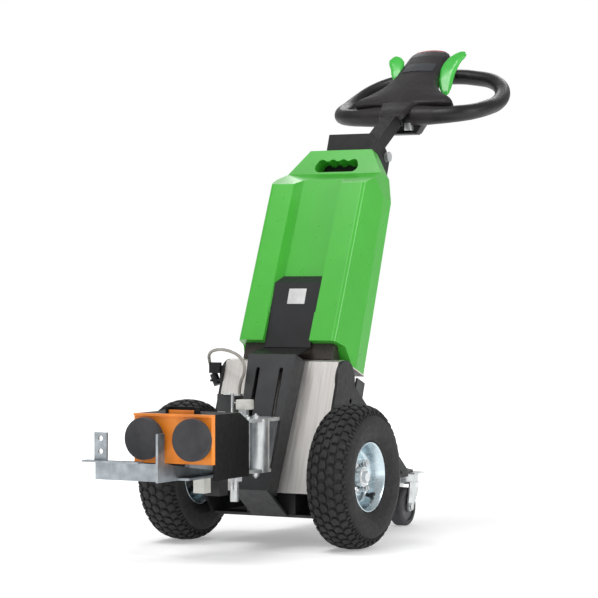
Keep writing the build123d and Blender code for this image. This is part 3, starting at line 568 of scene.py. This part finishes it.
for side, sign in SIDES:
    body = f"wheel_{side}"
    centre = at(sign * TRACK / 2, 0, AXLE_Z)
    axis = (sign, 0, 0)
    bm = bmesh.new()
    lathe(bm, centre, axis, RIM_LINE + RIM_LINE[:1], 96, caps=False)
    bmesh.ops.remove_doubles(bm, verts=bm.verts, dist=1e-6)
    wheel_rim = mesh_object(f"rim_pressed_{side}", bm, rim_zinc, body, 50)
    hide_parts(f"rim_{side}")
    bm = bmesh.new()
    for i in range(WHEEL_BOLTS):
        a = math.radians(45 + 360 / WHEEL_BOLTS * i)
        out = (sign * 9.2, BOLT_CIRCLE_R * math.sin(a), BOLT_CIRCLE_R * math.cos(a))
        hex_bolt(bm, centre + Vector(out) / 1000, axis, 11.0, 3.0)
    lathe(bm, centre, axis, HUB_CAP, 32)
    hex_prism(bm, centre, axis, 18, 20.6, 27.5, 0.4)
    bolts = mesh_object(f"wheel_bolts_{side}", bm, zinc, body)
    bm = bmesh.new()
    stem_at = centre + Vector((sign * 8.0, 36.0, -36.0)) / 1000
    lathe(bm, stem_at, (sign, -0.2, 0.2), VALVE, 20)
    valve = mesh_object(f"valve_{side}", bm, black_plastic, body)

# Rounded edges of moulded and formed nodes: width in millimetres and segments
for name, (width_mm, segments) in {
    "cover": (8.0, 5),
    "coupling_housing": (2.5, 3),
    "coupling_front": (1.5, 2),
    "front_column": (1.2, 2),
    "front_panel": (1.0, 2),
    "sensor_block": (1.5, 2),
    "lock_block": (1.5, 2),
    "rear_mast": (1.0, 2),
    "battery_pack": (8.0, 4),
}.items():
    round_edges(name, width_mm, segments)

# Tiller: ring tube, sleeves, moulded head, plate, red strip, thumb levers and the foot under it

HEAD_TILT = math.radians(42.6)
HEAD_Y, HEAD_Z = 550.0, 818.0


def head_point(x, h, z):
    """A point of the handle head: h up its face, z out of the face, in millimetres."""
    y = HEAD_Y + h * math.cos(HEAD_TILT) - z * math.sin(HEAD_TILT)
    return at(x, y, HEAD_Z + h * math.sin(HEAD_TILT) + z * math.cos(HEAD_TILT))


def between(table, value):
    """Linear interpolation in a table of (value, result) pairs."""
    if value <= table[0][0]:
        return table[0][1]
    for (a, fa), (b, fb) in zip(table, table[1:]):
        if value <= b:
            return fa + (fb - fa) * (value - a) / (b - a)
    return table[-1][1]


def spline_loop(points, per):
    """Closed Catmull-Rom line through points, per samples a span."""
    count = len(points)
    line = []
    for i in range(count):
        p0, p1, p2, p3 = (points[(i + k) % count] for k in (-1, 0, 1, 2))
        for j in range(per):
            t = j / per
            line.append(
                0.5 * (2 * p1 + (p2 - p0) * t + (2 * p0 - 5 * p1 + 4 * p2 - p3) * t * t
                       + (3 * p1 - p0 - 3 * p2 + p3) * t ** 3)
            )
    return line


# The ring's middle line on its right half, from the front to the back
RING_HALF = [
    (40, 554, 813), (84, 557, 813.5), (120, 566, 816), (146, 589, 821), (162, 622, 830),
    (168, 662, 842), (164, 700, 860), (148, 730, 880), (118, 751, 896), (80, 760.5, 904),
    (38, 763.4, 908.8),
]
RING_TILT = math.radians(24.8)
RING_UP = Vector((0, -math.sin(RING_TILT), math.cos(RING_TILT)))
GRIP_R = 15.8
SLEEVE_R = 16.2
THICKER = 3.6
ring_points = [at(*p) for p in RING_HALF] + [at(-x, y, z) for x, y, z in reversed(RING_HALF)]
ring_line = spline_loop(ring_points, 8)


def tube(bm, line, radius, closed, around=28):
    """Tube along a line; radius(i, angle) in mm, angle 0 away from the ring's middle, 90 up."""
    rings = []
    count = len(line)
    for i, p in enumerate(line):
        ahead = line[(i + 1) % count] if closed or i + 1 < count else p
        behind = line[i - 1] if closed or i > 0 else p
        along = (ahead - behind).normalized()
        out = along.cross(RING_UP).normalized()
        up = out.cross(along).normalized()
        ring = []
        for k in range(around):
            a = 2 * math.pi * k / around
            r = radius(i, a) / 1000
            ring.append(bm.verts.new(p + out * r * math.cos(a) + up * r * math.sin(a)))
        rings.append(ring)
    skin(bm, rings, caps=not closed, closed=closed)


def grip_radius(i, a):
    """Thicker along the front, towards the head."""
    p = ring_line[i]
    front = 1.0 if p.y < at(0, 640, 0).y else 0.0
    return GRIP_R + THICKER * front * max(0.0, 1 - abs(p.x) * 1000 / 150) ** 0.8


bm = bmesh.new()
tube(bm, ring_line, grip_radius, True)
ring = mesh_object("tiller_ring_grip", bm, grip, "tiller", 60)
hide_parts("tiller_ring")

# Head shell by height up its face: the face, its half width, its crown and its back
HEAD_LOW, HEAD_HIGH = -38, 214
FACE_Z = [
    (-38, 26), (-30, 26.5), (-16, 25), (0, 22), (14, 20), (30, 19), (60, 17), (100, 13), (150, 8),
    (190, 3), (215, -2),
]
FACE_HALF = [
    (-38, 20), (-35, 25), (-28, 28), (0, 34), (12, 37), (16, 44), (19, 70), (22, 94), (27, 106),
    (34, 108), (42, 102), (50, 90), (58, 80), (68, 70), (80, 61), (90, 56), (100, 52), (122, 47),
    (160, 45), (190, 44), (203, 43), (210, 40), (214, 36),
]
FACE_CROWN = [(-10, 1.5), (12, 2), (24, 11), (50, 9), (90, 6)]
FACE_BACK = [
    (-38, 21), (-14, 16), (-4, -8), (8, -12), (24, -18), (44, -46), (120, -56), (192, -78),
    (215, -70),
]
FACE_EDGE = 6.0


def face_height(x, h, w):
    """How far the face stands out at x and h, where w is its half width."""
    crown = between(FACE_CROWN, h) * (abs(x) / w) ** 2
    over = max(0.0, abs(x) - (w - FACE_EDGE)) / FACE_EDGE
    drop = FACE_EDGE * (1 - math.sqrt(max(0.0, 1 - over * over)))
    return between(FACE_Z, h) - crown - drop


bm = bmesh.new()
rows = []
for h in range(HEAD_LOW, HEAD_HIGH + 1, 2):
    w = between(FACE_HALF, h)
    end = min(1.0, (HEAD_HIGH - h) / 5.0, (h - HEAD_LOW) / 5.0 + 0.3)
    eased = 3.5 * (1 - end) ** 2
    row = []
    for k in range(33):
        x = w * math.sin(math.pi / 2 * (k / 16 - 1))
        row.append(bm.verts.new(head_point(x, h, face_height(x, h, w) - eased)))
    low = between(FACE_BACK, h)
    for k in range(17):
        x = w * (1 - 2 * k / 16)
        taper = 1 - 0.16 * (1 - (abs(x) / w) ** 4)
        z = low + max(0.0, -14 - low) * (abs(x) / w) ** 2
        z = min(z, face_height(x, h, w) - 4)
        row.append(bm.verts.new(head_point(x * (0.9 + 0.1 * taper), h, z)))
    rows.append(row)
skin(bm, rows)
for sign in (-1, 1):
    span = [p for p in ring_line if 26 < sign * p.x * 1000 < 108 and p.y < at(0, 620, 0).y]
    span.sort(key=lambda p: p.x)

    def sleeve(i, a, last=len(span) - 1, sign=sign):
        """Thicker on top and inside the ring, and tapered at its outer end."""
        near_head = max(0.0, 1 - (i if sign > 0 else last - i) / last)
        inner = max(0.0, math.cos(a - math.radians(140))) ** 1.3
        return SLEEVE_R + THICKER * near_head + inner * 3.0 * near_head

    tube(bm, span, sleeve, False)
head = mesh_object("tiller_head_shell", bm, head_plastic, "tiller", 42)
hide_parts("tiller_head")

# Bare plate that follows the head's face
PLATE_HALF = 34
PLATE_LOW, PLATE_H = 129, 29
bm = bmesh.new()
plate_rows = []
for j in range(9):
    h = PLATE_LOW + PLATE_H * j / 8
    w = between(FACE_HALF, h)
    across = [-PLATE_HALF + 2 * PLATE_HALF * k / 16 for k in range(17)]
    row = [bm.verts.new(head_point(x, h, face_height(x, h, w) + 0.9)) for x in across]
    row += [bm.verts.new(head_point(x, h, face_height(x, h, w) - 1.5)) for x in reversed(across)]
    plate_rows.append(row)
skin(bm, plate_rows)
head_plate = mesh_object("head_plate", bm, plate_dark, "tiller", 30)

# Red strip across the head's top, bowed in the middle
STRIP_HALF = 33
STRIP_LOW, STRIP_TOP, STRIP_BACK = 205, 213.0, -26
bm = bmesh.new()
strip_rows = []
for k in range(21):
    x = -STRIP_HALF + 2 * STRIP_HALF * k / 20
    bow = 1 - (x / STRIP_HALF) ** 2
    top = STRIP_TOP + 4.0 * bow
    section = (
        (STRIP_LOW, -5.5 + 2 * bow),
        (top - 1.5, -5.0 + 2 * bow),
        (top, -7.5 + 2 * bow),
        (top, STRIP_BACK),
        (STRIP_LOW, STRIP_BACK),
    )
    strip_rows.append([bm.verts.new(head_point(x, h, z)) for h, z in section])
skin(bm, strip_rows)
strip = mesh_object("switch_cap", bm, red_plastic, "tiller", 40)
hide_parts("switch_strip")

# Thumb levers: x, h, z of the middle line, half width, half thickness
LEVER_LINE = {
    "left": [
        (50, 127, -12, 3, 3), (52, 132, -9, 9, 6), (55, 143, -5, 12.5, 8), (57, 156, -1, 14.5, 8),
        (61, 167, 2, 16, 8), (67, 175, 4, 14.5, 7.5), (73, 180, 5, 10.5, 6.5), (77, 182, 5, 4, 3),
    ],
    "right": [
        (66, 90, -25, 3.0, 3.0), (66, 95, -23, 7.5, 5.5), (63, 107, -19, 13, 7),
        (60, 124, -12, 16.5, 8), (60, 142, -6, 18, 8.5), (63, 157, -2, 18.5, 8), (69, 169, 2, 17, 8),
        (76, 178, 4, 14, 7.5), (83, 184, 5, 11, 7), (88, 187, 5, 7.5, 5), (90, 188, 5, 3, 2.5),
    ],
}
LEVER_AROUND = 24
for side, sign in SIDES:
    line = LEVER_LINE[side]
    bm = bmesh.new()
    rings = []
    fine = []
    for a, b in zip(line, line[1:]):
        fine += [tuple(p + (q - p) * t / 3 for p, q in zip(a, b)) for t in range(3)]
    fine.append(line[-1])
    for i, (x, h, z, half, thick) in enumerate(fine):
        before = fine[max(0, i - 2)]
        after = fine[min(len(fine) - 1, i + 2)]
        run = Vector((after[0] - before[0], after[1] - before[1])).normalized()
        ring = []
        for k in range(LEVER_AROUND):
            a = 2 * math.pi * k / LEVER_AROUND
            across = half * math.copysign(abs(math.cos(a)) ** 0.75, math.cos(a))
            hollow = 3.0 * (1 - (across / half) ** 2) * (math.sin(a) > 0)
            lift = thick * math.sin(a) - hollow
            px = x + run.y * across
            ph = h - run.x * across
            ring.append(bm.verts.new(head_point(sign * px, ph, z + lift)))
        rings.append(ring)
    skin(bm, rings)
    lever = mesh_object(f"thumb_paddle_{side}", bm, lever_green, "tiller", 50)
    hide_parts(f"thumb_lever_{side}")


def slab(bm, outline, offset, bevel_mm=0.7, material=0):
    """A plate: outline's points in metres, pushed along offset in millimetres, with eased edges."""
    push = Vector(offset) / 1000
    low = [bm.verts.new(p) for p in outline]
    high = [bm.verts.new(p + push) for p in outline]
    faces = [bm.faces.new(low), bm.faces.new(high)]
    for i in range(len(outline)):
        n = (i + 1) % len(outline)
        faces.append(bm.faces.new((low[i], low[n], high[n], high[i])))
    for f in faces:
        f.material_index = material
    edges = list({e for f in faces for e in f.edges})
    bmesh.ops.bevel(
        bm, geom=edges, offset=bevel_mm / 1000, segments=2, profile=0.5, affect="EDGES",
        material=material,
    )


def block(bm, x0, x1, y0, y1, z0, z1, bevel_mm=0.7, material=0):
    """A box between two corners, in millimetres, with eased edges."""
    outline = [at(x0, y0, z0), at(x1, y0, z0), at(x1, y1, z0), at(x0, y1, z0)]
    slab(bm, outline, (0, 0, z1 - z0), bevel_mm, material)


# Foot of the head: collar round the stem's end, wedge under the ring, a nut and its plate
STEM_ANGLE = math.radians(33.0)
STEM_UP = Vector((0, math.cos(STEM_ANGLE), math.sin(STEM_ANGLE)))
STEM_OUT = Vector((0, -math.sin(STEM_ANGLE), math.cos(STEM_ANGLE)))
COLLAR_HALF = 17
COLLAR_H = 10
bm = bmesh.new()
start = at(0, 396, 723) + STEM_UP * 0.1502
corners = [
    start + Vector((COLLAR_HALF * x, 0, 0)) / 1000 + STEM_OUT * (COLLAR_HALF * z) / 1000
    for x, z in ((-1, -1), (1, -1), (1, 1), (-1, 1))
]
slab(bm, corners, tuple(STEM_UP * COLLAR_H))
wedge = ((-54, 803), (-37, 779), (37, 779), (54, 803))
slab(bm, [at(x, 556, z) for x, z in wedge], (0, 26, 0))
block(bm, 17, 31, 541, 556, 784, 806, 1.0, 1)
block(bm, -22, 34, 540, 582, 777, 780.5, 0.8, 0)
mount = mesh_object("head_foot", bm, [mast_black, zinc], "tiller")
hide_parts("head_mount")

# Sheet that closes the column's top towards the front panel; it takes the darker mast finish instead
# of the column's grey, as painted shade under the panel and cover
bm = bmesh.new()
cap = ((-49, -106.5, 329.4), (49, -106.5, 329.4), (49, -58.5, 357.5), (-49, -58.5, 357.5))
slab(bm, [leaned(*p) for p in cap], (0, 0, -3.4))
column_cap = mesh_object("column_cap", bm, mast_black, "chassis")

# Release tab: black lip round a low orange tongue
bm = bmesh.new()
block(bm, -30, 30, -303, -299, 245, 264, 1.0, 1)
block(bm, -30, -26.5, -316, -299, 245, 264, 0.6, 1)
block(bm, 26.5, 30, -316, -299, 245, 264, 0.6, 1)
block(bm, -26, 26, -312, -308.5, 245, 258.5, 0.6, 0)
tab = mesh_object("release_tongue", bm, [orange, housing_black], "coupling_head")
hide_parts("release_tab")

# Latch parts in front of the column, on the bracket's upper flange: a pale block and its stub,
# a grey angle, and a bent rod
bm = bmesh.new()
block(bm, -25, 2, -80, -60, 248, 266, 1.6, 0)
block(bm, -20, -6, -78, -64, 234, 248, 0.8, 2)
block(bm, -68, -38, -72, -69, 243, 275, 1.0, 1)
block(bm, -38, -34, -74, -68, 236, 276, 0.8, 2)
block(bm, -54, -38, -74, -68, 274, 277, 0.8, 2)
block(bm, -38, -16, -74, -68, 234, 238, 0.8, 2)
latch = mesh_object("latch_parts", bm, [block_pale, frame_grey, zinc], "chassis")

# Bolts and screws of the chassis
bm = bmesh.new()
for x in (-30.0, 30.0):
    for z, up in ((234.0, 1), (138.0, -1)):
        hex_bolt(bm, at(x, -104, z), (0, 0, up), 10.0, 3.0)
for x in (28.0, -28.0):
    hex_bolt(bm, at(x, -132.0, 234.0), (0, 0, 1), 8.0, 2.0)
chassis_bolts = mesh_object("chassis_bolts", bm, zinc, "chassis")

SIDE_FACE = 122.0
bm = bmesh.new()
for side in (-1, 1):
    for y, z in ((40.0, 215.0), (120.0, 72.0), (208.0, 112.0), (300.0, 114.0), (30.0, 78.0)):
        button_screw(bm, at(side * SIDE_FACE, y, z), (side, 0, 0))
frame_screws = mesh_object("frame_screws", bm, mast_black, "chassis")

# Cable, from its gland up in a bow and down into its socket
CABLE_ROUTE = [
    (-62.0, 0.1, 272.0),
    (-62.0, 0.1, 290.0),
    (-38.0, -18.9, 316.0),
    (-46.0, -19.9, 342.0),
    (-96.0, 2.1, 355.0),
    (-146.0, 32.1, 348.0),
    (-151.1, 46.0, 324.1),
    (-142.6, 46.0, 306.0),
]
curve = bpy.data.curves.new("cable_line", "CURVE")
curve.dimensions = "3D"
curve.bevel_depth = 0.003
curve.bevel_resolution = 6
curve.resolution_u = 24
curve.use_fill_caps = True
spline = curve.splines.new("NURBS")
spline.points.add(len(CABLE_ROUTE) - 1)
for point, where in zip(spline.points, CABLE_ROUTE):
    point.co = (*at(*where), 1)
spline.order_u = 3
spline.use_endpoint_u = True
cable = bpy.data.objects.new("cable_line", curve)
bpy.context.scene.collection.objects.link(cable)
curve.materials.append(cable_sheath.mat)
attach(cable, "chassis")
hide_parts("cable")

# Floor: near white by its glow, which grows away from the object, so that the shadow stays
FLOOR_GLOW = (0.5, 1.5, 0.30, 0.75)
bm = bmesh.new()
bmesh.ops.create_grid(bm, x_segments=8, y_segments=8, size=14)
floor_mesh = bpy.data.meshes.new("floor")
bm.to_mesh(floor_mesh)
bm.free()
floor = bpy.data.objects.new("floor", floor_mesh)
bpy.context.scene.collection.objects.link(floor)
floor_finish = Finish("floor_white", (0.9, 0.9, 0.9), 0.9)
floor_finish.bsdf.inputs["Specular IOR Level"].default_value = 0.1
floor_finish.tint(floor_finish.ramp(floor_finish.noise(3, 2), 0.3, 0.7), 0.995, 1.005)
far = floor_finish.nodes.new("ShaderNodeVectorMath")
far.operation = "LENGTH"
floor_finish.links.new(floor_finish.coords.outputs["Object"], far.inputs[0])
glow = floor_finish.ramp(far.outputs["Value"], *FLOOR_GLOW)
floor_finish.links.new(glow, floor_finish.bsdf.inputs["Emission Strength"])
floor_finish.bsdf.inputs["Emission Color"].default_value = (1, 1, 1, 1)
floor.data.materials.append(floor_finish.mat)

# World: plain light on the object, white to the camera
WORLD_STRENGTH = 0.46
scene = bpy.context.scene
world = bpy.data.worlds.new("studio")
scene.world = world
world.use_nodes = True
wn, wl = world.node_tree.nodes, world.node_tree.links
light = wn["Background"]
light.inputs["Color"].default_value = (1.0, 1.0, 1.0, 1)
light.inputs["Strength"].default_value = WORLD_STRENGTH
white = wn.new("ShaderNodeBackground")
white.inputs["Color"].default_value = (1, 1, 1, 1)
white.inputs["Strength"].default_value = 1.0
path = wn.new("ShaderNodeLightPath")
mix = wn.new("ShaderNodeMixShader")
wl.new(path.outputs["Is Camera Ray"], mix.inputs["Fac"])
wl.new(light.outputs[0], mix.inputs[1])
wl.new(white.outputs[0], mix.inputs[2])
wl.new(mix.outputs[0], wn["World Output"].inputs["Surface"])


def area_light(name, where, target, size, power):
    """A soft lamp at where, turned towards target, both in metres."""
    data = bpy.data.lights.new(name, "AREA")
    data.shape = "RECTANGLE"
    data.size, data.size_y = size
    data.energy = power
    obj = bpy.data.objects.new(name, data)
    obj.location = where
    obj.rotation_euler = (Vector(target) - Vector(where)).to_track_quat("-Z", "Y").to_euler()
    scene.collection.objects.link(obj)


area_light("key", (-0.7, -1.6, 3.5), (0, 0, 0.4), (1.6, 1.3), 52)
area_light("ridge", (0.2, -2.9, 2.6), (0, 0, 0.5), (0.3, 0.3), 8)
area_light("side", (2.9, -0.4, 1.6), (0.1, 0, 0.4), (0.9, 1.8), 26)
area_light("back", (-0.6, 2.6, 2.4), (0, 0.1, 0.5), (2.0, 0.8), 22)

# Camera, as fitted to the photo: focal length and shifts in its pixels, the rest in millimetres
PICTURE = 598
FOCAL = 2350
SHIFT_X, SHIFT_Y = 30, -13
SENSOR = 36
AZIMUTH = math.radians(28.5)
DISTANCE, HEIGHT = 4280.0, 470.0
camera_data = bpy.data.cameras.new("camera")
camera_data.sensor_width = SENSOR
camera_data.lens = FOCAL / PICTURE * SENSOR
camera_data.shift_x = SHIFT_X / PICTURE
camera_data.shift_y = SHIFT_Y / PICTURE
camera = bpy.data.objects.new("camera", camera_data)
camera.location = at(DISTANCE * math.sin(AZIMUTH), -DISTANCE * math.cos(AZIMUTH), HEIGHT)
camera.rotation_euler = (math.pi / 2, 0, AZIMUTH)
scene.collection.objects.link(camera)
scene.camera = camera
scene.view_settings.view_transform = "Standard"
